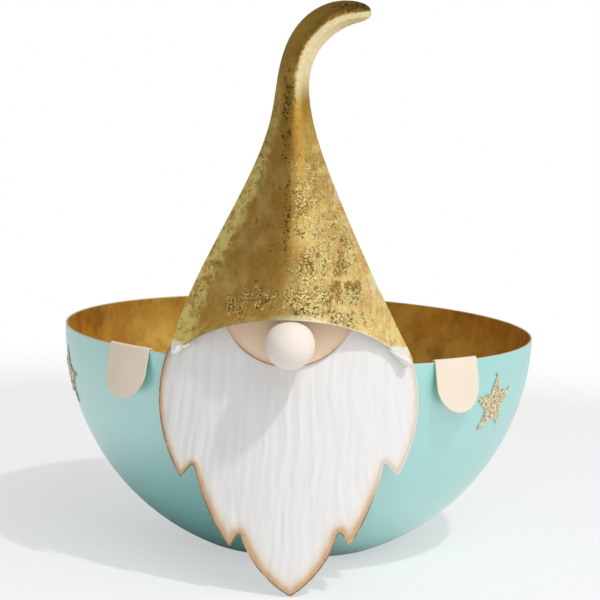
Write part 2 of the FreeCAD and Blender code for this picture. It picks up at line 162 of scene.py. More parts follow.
class Graph:
    """The nodes of one material or of the world."""

    def __init__(self, tree: bpy.types.NodeTree) -> None:
        """Empties the tree.

        Args:
            tree: the node tree to build in.
        """
        self.tree = tree
        tree.nodes.clear()

    def add(self, kind: str, settings: dict, sockets: dict, output: int | str = 0) -> Wire:
        """Adds any node.

        Args:
            kind: the node's type, without its ShaderNode prefix.
            settings: its properties, and "stops" for a ramp, which are set first.
            sockets: a value or a Wire for each input, by name or number.
            output: the output that the Wire stands for.

        Returns:
            The chosen output.
        """
        node = self.tree.nodes.new("ShaderNode" + kind)
        for name, value in settings.items():
            if name == "stops":
                self._set_stops(node.color_ramp, value)
            else:
                setattr(node, name, value)
        for name, value in sockets.items():
            if isinstance(value, Wire):
                self.tree.links.new(value.socket, node.inputs[name])
            elif value is not None:
                node.inputs[name].default_value = value
        return Wire(self, node.outputs[output] if node.outputs else None)

    @staticmethod
    def _set_stops(ramp: bpy.types.ColorRamp, stops: Sequence[tuple[float, Colour]]) -> None:
        """Gives a ramp its stops."""
        while len(ramp.elements) > 1:
            ramp.elements.remove(ramp.elements[-1])
        for i, (place, colour) in enumerate(stops):
            element = ramp.elements[0] if i == 0 else ramp.elements.new(place)
            element.position = place
            element.color = (*colour, 1.0)

    def millimetres(self) -> Wire:
        """The object's own coordinates in millimetres."""
        place = self.add("TexCoord", {}, {}, "Object")
        return self.add("Mapping", {}, {"Vector": place, "Scale": (1000,) * 3})

    def stretched(self, place: Wire, sizes: Sequence[float]) -> Wire:
        """Coordinates divided by a size along each axis."""
        scale = tuple(1 / size for size in sizes)
        return self.add("VectorMath", {"operation": "MULTIPLY"}, {0: place, 1: scale})

    def axes(self, place: Wire) -> tuple[Wire, Wire, Wire]:
        """X, Y and Z of some coordinates."""
        outputs = self.add("SeparateXYZ", {}, {"Vector": place}).socket.node.outputs
        return tuple(Wire(self, output) for output in outputs)

    def noise(
        self, place: Wire, size: float, detail: float = 3, roughness: float = 0.55, bend: float = 0
    ) -> Wire:
        """Soft noise with features of about the given size, from 0 to 1."""
        sockets = {"Vector": place, "Scale": 1 / size, "Detail": detail, "Roughness": roughness}
        return self.add("TexNoise", {}, sockets | {"Distortion": bend}, "Fac")

    def cells(self, place: Wire, size: float, output: str = "Distance") -> Wire:
        """A Voronoi pattern with cells of the given size."""
        return self.add("TexVoronoi", {}, {"Vector": place, "Scale": 1 / size}, output)

    def grey(self, colour: Wire) -> Wire:
        """A colour's brightness."""
        return self.add("RGBToBW", {}, {0: colour})

    def rays(self) -> tuple[Wire, Wire]:
        """1 for the camera's own rays, and 1 for mirrored or refracted ones."""
        outputs = self.add("LightPath", {}, {}).socket.node.outputs
        camera, glossy, through = (
            Wire(self, outputs[f"Is {kind} Ray"]) for kind in ("Camera", "Glossy", "Transmission")
        )
        return camera, glossy.larger(through)

    def between(self, value: Wire, low: float, high: float) -> Wire:
        """0 at low and 1 at high, smooth in between. low may be the larger."""
        if low > high:
            return 1 - self.between(value, high, low)
        sockets = {"Value": value, "From Min": low, "From Max": high}
        return self.add("MapRange", {"interpolation_type": "SMOOTHSTEP"}, sockets)

    def ramp(self, value: Wire, *stops: tuple[float, Colour]) -> Wire:
        """A colour from a value by a ramp's stops."""
        return self.add("ValToRGB", {"stops": stops}, {"Fac": value})

    def mix(self, share: Any, a: Any, b: Any) -> Wire:
        """Colour a turning into colour b as share goes from 0 to 1."""
        colours = [(*c, 1.0) if isinstance(c, tuple) else c for c in (a, b)]
        return self.add("Mix", {"data_type": "RGBA"}, {0: share, 6: colours[0], 7: colours[1]}, 2)

    def blend(self, share: Any, a: Any, b: Any) -> Wire:
        """Number a turning into number b as share goes from 0 to 1."""
        return self.add("Mix", {"data_type": "FLOAT"}, {0: share, 2: a, 3: b}, 0)

    def tilted(self, colour: Wire, amount: Any) -> Wire:
        """The surface's normal, tipped another way for each colour of a cell pattern."""
        normal = self.add("NewGeometry", {}, {}, "Normal")
        lean = self.add("VectorMath", {"operation": "SUBTRACT"}, {0: colour, 1: (0.5, 0.5, 0.5)})
        lean = self.add("VectorMath", {"operation": "SCALE"}, {0: lean, "Scale": amount})
        tipped = self.add("VectorMath", {"operation": "ADD"}, {0: normal, 1: lean})
        return self.add("VectorMath", {"operation": "NORMALIZE"}, {0: tipped})

    def bump(self, height: Wire, depth: float, strength: float = 1.0, normal: Any = None) -> Wire:
        """A normal from a height of 0 to 1.

        Args:
            height: the pattern.
            depth: how deep it is, in millimetres.
            strength: how much of it shows.
            normal: a normal to add to.

        Returns:
            The bumped normal.
        """
        sockets = {"Height": height, "Distance": depth * MM, "Strength": strength, "Normal": normal}
        return self.add("Bump", {}, sockets)


class Finish:
    """A material that is built when it is first used."""

    name = "finish"
    slot = Slot.WHITE

    def paint(self, graph: Graph) -> dict[str, Any]:
        """The Principled shader's sockets. Each finish has its own."""
        raise NotImplementedError

    def material(self) -> bpy.types.Material:
        """The material, made once."""
        found = bpy.data.materials.get(self.name)
        if found:
            return found
        material = bpy.data.materials.new(self.name)
        material.use_nodes = True
        graph = Graph(material.node_tree)
        graph.add("OutputMaterial", {}, {"Surface": self.surface(graph)})
        return material

    def surface(self, graph: Graph) -> Wire:
        """The Principled shader, unless a finish has another."""
        return graph.add("BsdfPrincipled", {}, self.paint(graph))

    def coat(self, piece: bpy.types.Object) -> None:
        """Gives a piece this finish."""
        piece.data.materials.clear()
        piece.data.materials.append(self.material())


# ---------------------------------------------------------------- finishes


@dataclass(frozen=True)
class GoldLeaf:
    """Colours of the gold leaf, and its cloudy ground."""

    bright: Colour = (0.80, 0.54, 0.14)
    warm: Colour = (0.60, 0.31, 0.05)
    rust: Colour = (0.50, 0.22, 0.035)
    olive: Colour = (0.36, 0.25, 0.045)
    pale: Colour = (0.92, 0.74, 0.32)
    brown: Colour = (0.25, 0.13, 0.018)
    dark: Colour = (0.085, 0.060, 0.012)
    warp: float = 0.5

    def ground(self, graph: Graph, place: Wire) -> Wire:
        """The leaf's cloudy gold."""
        clouds = graph.noise(place, 14, 4, 0.6)
        tone = graph.mix(graph.between(clouds, 0.38, 0.64), self.warm, self.bright)
        rusty = graph.between(graph.noise(place, 11, 5, 0.62, self.warp), 0.54, 0.66)
        tone = graph.mix(rusty * 0.45, tone, self.rust)
        greenish = graph.between(graph.noise(place, 8, 5, 0.62, self.warp), 0.54, 0.68)
        tone = graph.mix(greenish * 0.5, tone, self.olive)
        grain = graph.noise(place, 0.9, 3, 0.7)
        return graph.mix(graph.between(grain, 0.45, 0.75) * 0.25, tone, self.pale)


@dataclass(frozen=True)
class HatLeaf(Finish):
    """Gold leaf on the hat: crinkled flakes, brown patina and worn pale edges, with painted glints,
    shade, highlights and reflection.

    Each oval is its middle, across and up, and its half width and half height, in millimetres.
    """

    leaf: GoldLeaf = GoldLeaf()
    name = "hat_gold_leaf"
    slot = Slot.GOLD
    # Painted light on the hat's lower right.
    lower_right_light_tone: Colour = (0.92, 0.77, 0.33)
    flake_tone: Colour = (0.46, 0.33, 0.06)
    # Painted glints.
    glint_tone: Colour = (0.97, 0.85, 0.38)
    neck_tone: Colour = (0.42, 0.235, 0.03)
    # Painted light on the curl's upward side.
    curl_top_light_tone: Colour = (0.86, 0.54, 0.09)
    # Painted reflection on the curl's under side, and its painted dark edge.
    curl_reflection_tones: Tones = ((0.97, 0.84, 0.48), (1.0, 0.93, 0.68))
    reflection_edge_shade_tone: Colour = (0.15, 0.115, 0.02)
    glow_tone: Colour = (0.97, 0.91, 0.66)
    # Painted highlight tone.
    worn_tone: Colour = (0.74, 0.64, 0.20)
    # Painted highlight above the hem.
    shine_tone: Colour = (0.98, 0.88, 0.52)
    # The bare edge's tones: painted shade on the left, painted highlight on the right.
    bare_edge_shade_and_highlight_tones: Tones = ((0.26, 0.27, 0.12), (0.80, 0.77, 0.62))
    smear_tone: Colour = (0.84, 0.85, 0.79)
    facet_size: float = 0.50
    spark_size: float = 0.9
    slanting_down: Point = (0.7, 0, -0.7)
    edge_depth: float = -92.3
    hem_centre: tuple[float, float] = (0.0, 43.15)
    hem_radius: float = 68.0
    crinkles: Rows = (
        (7, 118, 15, 10),
        (7, 131, 11, 11),
        (-8.5, 119, 16, 7),
        (-21, 115, 7, 7),
        (20.5, 111, 11, 6),
        (19.5, 136, 6, 11),
        (4, 160, 8, 22),
        (23, 119, 7, 6),
        (13, 140, 9, 14),
    )
    blotches: Rows = (
        (7, 134, 4, 6),
        (18, 130, 5, 5),
        (23, 123, 5, 4),
        (16, 121, 5, 6),
        (18, 138, 3, 6),
    )
    corners: Rows = ((42, 97, 7, 4), (-45, 95.5, 5, 4))
    # The rubs are painted highlights on the hat's lit right edge.
    edge_highlights: Rows = ((16, 164, 5, 12), (24, 150, 6, 14), (32, 128, 4, 12))
    # The first two fringe ovals are a painted shade band left of the ridge; the last adds specks on
    # the tip.
    ridge_shade_and_tip_specks: Rows = ((-4.5, 188, 3.5, 24), (-3, 152, 2, 24), (20, 228.5, 13, 4))
    # The hem's shine is a painted highlight.
    hem_shine: Rows = ((4, 112, 13, 8),)

    def paint(self, graph: Graph) -> dict[str, Any]:
        """Leaf, flakes, patina and worn edges, with painted glints, shade, highlights and
        reflection.
        """
        coats = HatCoats(self, graph)
        crinkled, lit, shaded = coats.flakes()
        glint = coats.sparks(lit)
        dark = coats.patina(glint)
        curl_reflection = coats.curl()
        worn = coats.edges()
        edge_strip, smear = coats.hem()
        matt = (worn * 0.8).larger(edge_strip).larger(glint * 0.5).larger(smear)
        tilt = graph.tilted(coats.facet, crinkled * 0.40 + coats.on_right * 0.12 + 0.03)
        crinkle = graph.bump(graph.noise(coats.place, 0.7, 4, 0.7), 0.06, 0.6, tilt)
        glossy = (0.06 + coats.on_right * 0.46) * graph.between(coats.z, 190, 140)
        return {
            "Base Color": coats.tone,
            "Metallic": 0.95 - matt * 0.75,
            "Roughness": 0.36 + matt.larger(curl_reflection) * 0.2,
            "Normal": graph.bump(graph.noise(coats.place, 6, 3), 0.30, 0.5, crinkle),
            "Coat Weight": glossy * (1 - dark.larger(shaded)),
            "Coat IOR": 1.7,
            "Coat Roughness": 0.3,
        }


class HatCoats:
    """The hat's coats of leaf, paint and painted light, each laid over the ones before it."""

    def __init__(self, hat: HatLeaf, graph: Graph) -> None:
        """Lays the leaf's ground and makes the patterns that several coats share.

        Args:
            hat: the colours, and the places of the patches.
            graph: the material's nodes.
        """
        self.hat, self.graph = hat, graph
        self.place = graph.millimetres()
        self.x, self.y, self.z = graph.axes(self.place)
        self.on_right = graph.between(self.x, -6, 8)
        self.streaks = graph.noise(graph.stretched(self.place, (1.5, 1.5, 10)), 1, 4, 0.65)
        self.rough = graph.noise(graph.stretched(self.place, (3.8, 3.8, 5.6)), 1, 6, 0.75, 0.3)
        self.specks = graph.noise(self.place, 1.3, 3, 0.6)
        self.facet = graph.cells(self.place, hat.facet_size, "Color")
        sockets = {0: graph.add("NewGeometry", {}, {}, "Normal"), 1: hat.slanting_down}
        self.down = graph.add("VectorMath", {"operation": "DOT_PRODUCT"}, sockets, "Value")
        self.tone = hat.leaf.ground(graph, self.place)

    def cover(self, share: Wire, colour: Any) -> None:
        """Lays a colour over the coats so far, as densely as its share says."""
        self.tone = self.graph.mix(share, self.tone, colour)

    def patches(self, ovals: Rows) -> Wire:
        """1 in the middle of each oval patch, falling to 0 at its edge."""
        covered = None
        for left, up, wide, high in ovals:
            across, along = (self.x - left) / wide, (self.z - up) / high
            patch = self.graph.between(across * across + along * along, 1.0, 0.0)
            covered = patch if covered is None else covered.larger(patch)
        return covered

    def flakes(self) -> tuple[Wire, Wire, Wire]:
        """Pale streaks, laid denser on the lit right partly as painted light, and crinkled flakes
        whose small facets are painted lit or painted in shade.

        Returns:
            Where the leaf is crinkled, where its facets are painted lit, and where they are painted
            in shade.
        """
        graph, hat, z = self.graph, self.hat, self.z
        # Pale streaks of leaf, denser on the right, where they are partly painted light.
        streaked = graph.between(self.streaks, 0.48, 0.72) * (0.12 + self.on_right * 0.3)
        self.cover(streaked, hat.leaf.pale)
        spread = self.rough + self.patches(hat.crinkles) * 0.20 + self.on_right * 0.05
        crinkled = graph.between(spread, 0.57, 0.78)
        shade = graph.grey(self.facet) + (graph.noise(self.place, 1.3, 2) - 0.5) * 0.7
        # Painted light and painted shade: each facet is coloured lit or shaded by its random tone.
        lit = crinkled * graph.between(shade, 0.58, 0.70)
        shaded = crinkled * graph.between(shade, 0.42, 0.30)
        # Painted light: the lower right of the hat paler and yellower, in streaks.
        lower_right_light = self.on_right * graph.between(z, 150, 112)
        self.cover(lower_right_light * graph.between(self.streaks, 0.30, 0.60) * 0.5, hat.lower_right_light_tone)
        self.cover(crinkled * 0.4, hat.flake_tone)
        # Painted shade on the shaded facets, deeper near the hem.
        self.cover(shaded * (0.55 + graph.between(z, 130, 112) * 0.4), hat.leaf.dark)
        return crinkled, lit, shaded

    def sparks(self, lit: Wire) -> Wire:
        """The lit facets and single sparks, most on the right, as painted glints; returns where
        they are.
        """
        graph, size = self.graph, self.hat.spark_size
        near = graph.cells(self.place, size)
        chosen = graph.grey(graph.cells(self.place, size, "Color"))
        sparks = graph.between(near, 0.32, 0.18) * graph.between(chosen, 0.42, 0.50)
        sparks = sparks * (0.12 + self.on_right * graph.between(self.z, 185, 165) * 0.8)
        sparks = sparks * graph.between(self.rough, 0.38, 0.52)
        glint = (lit * graph.between(graph.noise(self.place, 3.2, 2), 0.30, 0.55)).larger(sparks)
        # Painted glints: a pale colour on the lit facets and sparks.
        self.cover(glint * 0.9, self.hat.glint_tone)
        return glint

    def patina(self, glint: Wire) -> Wire:
        """A browner neck, painted light on the curl's upward side, then dark blotches and specks
        beside the glints, and a painted shade band left of the ridge.

        Returns:
            Where the blotches, the specks and the painted shade band are.
        """
        graph, hat, z = self.graph, self.hat, self.z
        self.cover(graph.between(z, 150, 195) * 0.6, hat.neck_tone)
        # Painted light: where the curl faces upwards it is lighter and warmer.
        curl_top_light = graph.between(self.down, -0.25, -0.70) * graph.between(z, 205, 222)
        self.cover(curl_top_light * 0.7, hat.curl_top_light_tone)
        blotch = graph.between(self.rough + self.patches(hat.blotches) * 0.20, 0.60, 0.68)
        # Painted shade left of the ridge down the neck, mixed with real specks on the tip.
        ridge_shade_and_tip_specks = self.patches(hat.ridge_shade_and_tip_specks)
        speckled = graph.between(self.specks + ridge_shade_and_tip_specks * 0.16, 0.65, 0.71)
        dark = (blotch * 0.85).larger(speckled * 0.85).larger(ridge_shade_and_tip_specks * 0.25) * (1 - glint)
        self.cover(dark, graph.mix(speckled, hat.leaf.brown, hat.leaf.dark))
        return dark

    def curl(self) -> Wire:
        """The curl's under side: a painted pale reflection beside a painted dark edge, and painted
        highlights on the lit right edge.

        Returns:
            Where the painted reflection lies on the curl.
        """
        graph, hat, z = self.graph, self.hat, self.z
        # Painted reflection: a pale cream band where the curl faces down and right.
        ragged = self.down + (graph.noise(self.place, 2.2, 5, 0.75) - 0.5) * 0.9
        curl_reflection = graph.between(ragged, 0.10, 0.30) * graph.between(z - self.x * 0.5, 190, 203)
        pale = graph.mix(graph.between(self.specks, 0.45, 0.60), *hat.curl_reflection_tones)
        self.cover(curl_reflection * 0.8, pale)
        # Painted shade: a dark edge along the painted reflection.
        reflection_edge_shade = graph.between(ragged, -0.30, -0.05) * graph.between(ragged, 0.16, 0.06)
        reflection_edge_shade = reflection_edge_shade * graph.between(z, 184, 194) * graph.between(self.rough, 0.40, 0.52)
        self.cover(reflection_edge_shade * 0.75, hat.reflection_edge_shade_tone)
        # Painted highlights: pale patches on the lit right edge.
        glow = self.patches(hat.edge_highlights) * graph.between(self.rough, 0.35, 0.60)
        self.cover(glow * 0.8, hat.glow_tone)
        return curl_reflection

    def edges(self) -> Wire:
        """Worn patches near the upright edges, most on the left; returns where they are."""
        graph, hat, x, z = self.graph, self.hat, self.x, self.z
        near = graph.between(self.y, hat.edge_depth - 9, hat.edge_depth - 3)
        worn = graph.noise(self.place, 5, 8, 0.8) + near * 0.10 - graph.between(x, -15, 10) * 0.08
        scratchy = graph.noise(graph.stretched(self.place, (0.5, 0.5, 1.1)), 1, 4, 0.75) - 0.5
        worn = graph.between(worn + scratchy * 0.45, 0.53, 0.62) * near
        on_neck = graph.between(x, -4, -9) * graph.between(z, 205, 190) * 0.6
        worn = worn * graph.between(z, 190, 165).larger(on_neck)
        self.cover(worn * 0.85, hat.worn_tone)
        return worn

    def hem(self) -> tuple[Wire, Wire]:
        """A painted highlight above the hem's middle, its bare edge painted darker on the left and
        paler on the right, and smeared paint at its corners.

        Returns:
            Where the edge is bare, and where paint is smeared.
        """
        graph, hat, x, z = self.graph, self.hat, self.x, self.z
        across, up = x - hat.hem_centre[0], z - hat.hem_centre[1]
        above = (across * across + up * up) ** 0.5 - hat.hem_radius
        above = above + (graph.noise(self.place, 2.5, 3) - 0.5) * 0.8
        # Painted highlight above the middle of the hem.
        shine = graph.between(above, 2.6, 0.9) * self.patches(hat.hem_shine)
        self.cover(shine * 0.8, hat.shine_tone)
        edge_strip = graph.between(above, 0.65, 0.35)
        edge_strip = edge_strip * (0.35 + graph.between(self.rough, 0.42, 0.58) * 0.5)
        # The bare sheet edge, painted darker on the left as shade and paler on the right as
        # highlight.
        self.cover(edge_strip, graph.mix(graph.between(x, -12, 8), *hat.bare_edge_shade_and_highlight_tones))
        smear = self.patches(hat.corners) + (self.rough - 0.5) * 2.4
        smear = graph.between(smear, 0.30, 0.75) * graph.between(z, 104.5, 99)
        self.cover(smear * 0.8, hat.smear_tone)
        return edge_strip, smear


@dataclass(frozen=True)
class BowlFinish(Finish):
    """Satin aqua paint outside and smudged gold leaf inside, parted at the rim's edge."""

    leaf: GoldLeaf = GoldLeaf(
        bright=(0.88, 0.56, 0.11),
        warm=(0.70, 0.36, 0.045),
        rust=(0.66, 0.32, 0.04),
        olive=(0.56, 0.40, 0.07),
        pale=(0.92, 0.68, 0.24),
        warp=0.0,
    )
    name = "bowl_aqua_and_gold"
    slot = Slot.AQUA
    aqua_tones: Tones = ((0.180, 0.620, 0.570), (0.205, 0.650, 0.600))
    dust_tone: Colour = (0.12, 0.33, 0.30)
    smudge_tone: Colour = (0.20, 0.11, 0.022)
    lip_tone: Colour = (0.80, 0.74, 0.55)
    skin_radius: float = 99.62

    def paint(self, graph: Graph) -> dict[str, Any]:
        """Both sides of the wall by their distance from the middle of the sphere."""
        place = graph.millimetres()
        x, y, z = graph.axes(place)
        below = z - RIM_HEIGHT_MM
        radius = (x * x + y * y + below * below) ** 0.5
        outside = graph.between(radius, self.skin_radius - 0.1, self.skin_radius + 0.1)
        aqua = graph.mix(graph.noise(place, 26, 3), *self.aqua_tones)
        dust = graph.between(graph.noise(place, 1.1, 2), 0.74, 0.80)
        aqua = graph.mix(dust * 0.25, aqua, self.dust_tone)
        gold = self.leaf.ground(graph, place)
        smudge = graph.between(graph.noise(place, 17, 3, 0.5), 0.52, 0.72)
        gold = graph.mix(smudge * 0.4, gold, self.smudge_tone)
        lip = graph.between(z, RIM_HEIGHT_MM - 0.45, RIM_HEIGHT_MM - 0.15)
        grain = graph.noise(place, 0.8, 3, 0.6)
        return {
            "Base Color": graph.mix(lip * 0.75, graph.mix(outside, gold, aqua), self.lip_tone),
            "Metallic": (0.85 - outside * 0.85) * (1 - lip * 0.7),
            "Roughness": graph.blend(outside, 0.42, 0.46),
            "Normal": graph.bump(grain, 0.03, 0.35),
            "IOR": 1.7,
            "Coat Weight": outside,
            "Coat IOR": 3.2,
            "Coat Roughness": 0.42,
        }


@dataclass(frozen=True)
class BeardPaint(Finish):
    """White paint with fine hair lines and a brown rubbed edge, heavier on the left partly as
    painted shade, with a painted highlight along the right-hand edges.
    """

    name = "beard_white_paint"
    slot = Slot.WHITE
    white_tones: Tones = ((0.88, 0.868, 0.855), (0.84, 0.826, 0.81))
    glow_tone: Colour = (0.82, 0.61, 0.36)
    rub_tone: Colour = (0.56, 0.32, 0.14)
    # Dark edge line, partly painted shade.
    line_tone: Colour = (0.20, 0.10, 0.035)
    # Painted highlight on the right-hand edges.
    lit_edge_tone: Colour = (0.86, 0.84, 0.80)
    speck_tone: Colour = (0.16, 0.085, 0.04)

    def paint(self, graph: Graph) -> dict[str, Any]:
        """The rub follows the distance from the outline that the plate carries."""
        place = graph.millimetres()
        x, _, z = graph.axes(place)
        edge = graph.add("Attribute", {"attribute_name": "edge"}, {}, "Fac")
        white = graph.mix(graph.noise(place, 12, 3), *self.white_tones)
        low = graph.between(z, 55, 30)
        # The brown is heavier on the left and at the bottom; on the left it is partly painted
        # shade.
        on_left = graph.between(x, 15, -25).larger(low)
        uneven = graph.noise(place, 6, 4, 0.6)
        ragged = edge + (uneven - 0.5) * 2.4
        spread = ragged / (1 + low * 0.55)
        glow = graph.between(spread, 4.4, 0.9)
        tone = graph.mix(glow * (0.35 + on_left * 0.25), white, self.glow_tone)
        rub = graph.between(spread, 2.6, 0.6)
        tone = graph.mix(rub * (0.30 + on_left * 0.44), tone, self.rub_tone)
        # A dark line at the very edge, mostly on the left: brown paint and partly painted shade.
        line = graph.between(edge, 0.85, 0.35) * graph.between(uneven, 0.32, 0.50)
        tone = graph.mix(line * (0.15 + on_left * 0.65), tone, self.line_tone)
        # Painted highlight: the right-hand edges almost white, as lit from the right.
        edge_strip = graph.between(edge, 0.55, 0.35) * (1 - on_left)
        tone = graph.mix(edge_strip * 0.8, tone, self.lit_edge_tone)
        specks = graph.between(graph.noise(place, 0.9, 2), 0.60, 0.70)
        specks = specks * graph.between(edge, 2.4, 0.5)
        tone = graph.mix(specks * on_left * 0.6, tone, self.speck_tone)
        hairs = graph.noise(graph.stretched(place, (0.5, 0.5, 9)), 1, 3, 0.6)
        return {
            "Base Color": tone,
            "Roughness": graph.blend(rub, 0.58, 0.7),
            "Normal": graph.bump(hairs, 0.05, 0.5),
        }


@dataclass(frozen=True)
class SkinPaint(Finish):
    """Matt skin coloured paint, brushed on, with a brown line along a round edge if asked, partly
    painted shade.
    """

    name: str = "hand_paint"
    slot: Slot = Slot.SKIN
    colour: Colour = (0.89, 0.785, 0.645)
    shade: Colour = (0.83, 0.715, 0.56)
    round_centre: tuple[float, float] | None = None
    round_radius: float = 0.0
    rub_tone: Colour = (0.55, 0.32, 0.16)
    # Dark line tone, partly painted shade.
    line_tone: Colour = (0.25, 0.14, 0.05)

    def paint(self, graph: Graph) -> dict[str, Any]:
        """Mottled paint, and the line."""
        place = graph.millimetres()
        tone = graph.mix(graph.noise(place, 7, 4), self.colour, self.shade)
        if self.round_centre:
            x, _, z = graph.axes(place)
            across = x - self.round_centre[0]
            up = z - self.round_centre[1]
            inside = self.round_radius - (across * across + up * up) ** 0.5
            wavy = inside + (graph.noise(place, 3, 3) - 0.5) * 0.8
            tone = graph.mix(graph.between(wavy, 2.6, 0.4) * 0.35, tone, self.rub_tone)
            # The dark line along the lower edge is partly brown paint and partly painted shade
            # where the plate stands off the beard.
            line = graph.between(wavy, 0.75, 0.25) * graph.between(z, 104, 97)
            tone = graph.mix(line * 0.8, tone, self.line_tone)
        strokes = graph.noise(graph.stretched(place, (0.8, 0.8, 5)), 1, 3)
        return {
            "Base Color": tone,
            "Roughness": 0.55,
            "Normal": graph.bump(strokes, 0.04, 0.5),
        }


@dataclass(frozen=True)
class WeldFinish(Finish):
    """Paint over a weld's ripples."""

    name: str = "weld_white"
    slot: Slot = Slot.WHITE
    colour: Colour = (0.88, 0.87, 0.85)
    stain: Colour = (0.70, 0.66, 0.56)
    metallic: float = 0.0

    def paint(self, graph: Graph) -> dict[str, Any]:
        """Paint with darker stains in random patches."""
        place = graph.millimetres()
        stained = graph.between(graph.noise(place, 1.8, 3), 0.48, 0.62)
        return {
            "Base Color": graph.mix(stained * 0.6, self.colour, self.stain),
            "Metallic": self.metallic,
            "Roughness": 0.5,
            "Normal": graph.bump(graph.noise(place, 0.9, 3), 0.15, 0.6),
        }


@dataclass(frozen=True)
class ScrewSteel(Finish):
    """Zinc plated steel with dull patches."""

    name = "screw_steel"
    slot = Slot.STEEL
    tones: Tones = ((0.60, 0.60, 0.58), (0.72, 0.72, 0.72))

    def paint(self, graph: Graph) -> dict[str, Any]:
        """A blotchy sheen and a fine grain."""
        place = graph.millimetres()
        blotches = graph.noise(place, 1.4, 3)
        return {
            "Base Color": graph.mix(blotches, *self.tones),
            "Metallic": 1.0,
            "Roughness": 0.22 + blotches * 0.25,
            "Normal": graph.bump(graph.noise(place, 0.25, 2), 0.02, 0.5),
        }


@dataclass(frozen=True)
class Glitter(Finish):
    """Champagne glitter: each grain has its own tone."""

    name: str = "glitter_flakes"
    slot: Slot = Slot.GLITTER
    grain: float = 0.6
    tones: tuple[tuple[float, Colour], ...] = (
        (0.12, (0.42, 0.30, 0.11)),
        (0.35, (0.72, 0.57, 0.28)),
        (0.66, (0.86, 0.74, 0.44)),
        # Near-white grains: painted sparkles.
        (0.80, (0.99, 0.98, 0.92)),
    )

    def paint(self, graph: Graph) -> dict[str, Any]:
        """Grains from dull gold to nearly white; the near-white ones are painted sparkles."""
        place = graph.millimetres()
        grain = graph.grey(graph.cells(place, self.grain, "Color"))
        return {
            "Base Color": graph.ramp(grain, *self.tones),
            "Metallic": 0.35,
            "Roughness": 0.3 + grain * 0.15,
            "Normal": graph.bump(grain, 0.12, 0.8),
        }


@dataclass(frozen=True)
class FloorFinish(Finish):
    """A plain pale floor that fades into the white backdrop.

    Distances are metres from the object's middle.
    """

    name = "pale_floor"
    pale: Colour = (0.92, 0.92, 0.92)
    # Painted shade that reflections see near the object.
    reflected_shade_tone: Colour = (0.08, 0.09, 0.09)
    fade: tuple[float, float] = (0.18, 0.55)
    mirrored_fade: tuple[float, float] = (0.035, 0.155)

    def surface(self, graph: Graph) -> Wire:
        """Half glowing near the object, all white far away; mirrored, a painted shade near the
        object, reaching further out on its left.
        """
        place = graph.add("TexCoord", {}, {}, "Object")
        distance = graph.add("VectorMath", {"operation": "LENGTH"}, {0: place}, "Value")
        camera, mirrored = graph.rays()
        x, _, _ = graph.axes(place)
        far = graph.between(distance, *self.fade).larger(0.5) * camera
        aside = graph.between(x, -0.05, 0.03).larger(graph.between(x, -0.06, -0.14))
        # Painted shade: in reflections the floor is dark near the object, reaching further out on
        # its left.
        level = graph.between(distance + x * 0.10 + x.larger(0) * 0.9, *self.mirrored_fade)
        level = level * (0.65 + aside * 0.35)
        tone = graph.mix(mirrored * (1 - level), WHITE, self.reflected_shade_tone)
        matt = graph.add("BsdfDiffuse", {}, {"Color": (*self.pale, 1.0)})
        white = graph.add("Emission", {}, {"Color": tone, "Strength": 1.0})
        return graph.add("MixShader", {}, {0: far.larger(mirrored), 1: matt, 2: white})


# ---------------------------------------------------------------- modelling


class Bench:
    """The modelling operators, each on one chosen object."""

    @staticmethod
    def clear() -> None:
        """Deselects everything."""
        if bpy.context.object and bpy.context.object.mode != "OBJECT":
            Bench.done()
        bpy.ops.object.select_all(action="DESELECT")

    @staticmethod
    def take(piece: bpy.types.Object) -> None:
        """Makes a piece the only one selected, and active."""
        Bench.clear()
        piece.select_set(True)
        bpy.context.view_layer.objects.active = piece

    @staticmethod
    def named(name: str) -> bpy.types.Object:
        """Names the primitive that was just added, puts its place into its mesh, and returns it."""
        piece = bpy.context.object
        piece.name = name
        piece.data.name = name
        Bench.take(piece)
        bpy.ops.object.transform_apply(location=True, rotation=True, scale=True)
        return piece

    @staticmethod
    def pick(piece: bpy.types.Object, test: Callable[[Vector], bool]) -> None:
        """Opens a piece in edit mode with only the vertices that pass the test selected."""
        Bench.take(piece)
        bpy.ops.object.mode_set(mode="EDIT")
        bpy.ops.mesh.select_mode(type="VERT")
        bpy.ops.mesh.select_all(action="DESELECT")
        bpy.ops.object.mode_set(mode="OBJECT")
        for vertex in piece.data.vertices:
            vertex.select = test(vertex.co)
        bpy.ops.object.mode_set(mode="EDIT")

    @staticmethod
    def done() -> None:
        """Leaves edit mode."""
        bpy.ops.object.mode_set(mode="OBJECT")

    @staticmethod
    def modify(piece: bpy.types.Object, kind: str, **settings: Any) -> None:
        """Adds a modifier and applies it."""
        Bench.take(piece)
        modifier = piece.modifiers.new(kind.title(), kind)
        for name, value in settings.items():
            setattr(modifier, name, value)
        bpy.ops.object.modifier_apply(modifier=modifier.name)

    @staticmethod
    def outwards(piece: bpy.types.Object, merge: float = 1e-6) -> None:
        """Merges doubles and turns every face outwards."""
        Bench.take(piece)
        bpy.ops.object.mode_set(mode="EDIT")
        bpy.ops.mesh.select_all(action="SELECT")
        bpy.ops.mesh.remove_doubles(threshold=merge)
        bpy.ops.mesh.normals_make_consistent(inside=False)
        Bench.done()

    @staticmethod
    def smooth(piece: bpy.types.Object, degrees: float = 35) -> None:
        """Shades a piece smooth up to an angle."""
        Bench.take(piece)
        bpy.ops.object.shade_smooth_by_angle(angle=math.radians(degrees))

    @staticmethod
    def placed(name: str, data: bpy.types.ID) -> bpy.types.Object:
        """A new object in the scene."""
        piece = bpy.data.objects.new(name, data)
        bpy.context.scene.collection.objects.link(piece)
        return piece

    @staticmethod
    def copy_of(node: bpy.types.Object, name: str) -> bpy.types.Object:
        """A loose copy of a CAD node with its own merged mesh."""
        piece = Bench.placed(name, node.data.copy())
        Bench.outwards(piece)
        return piece


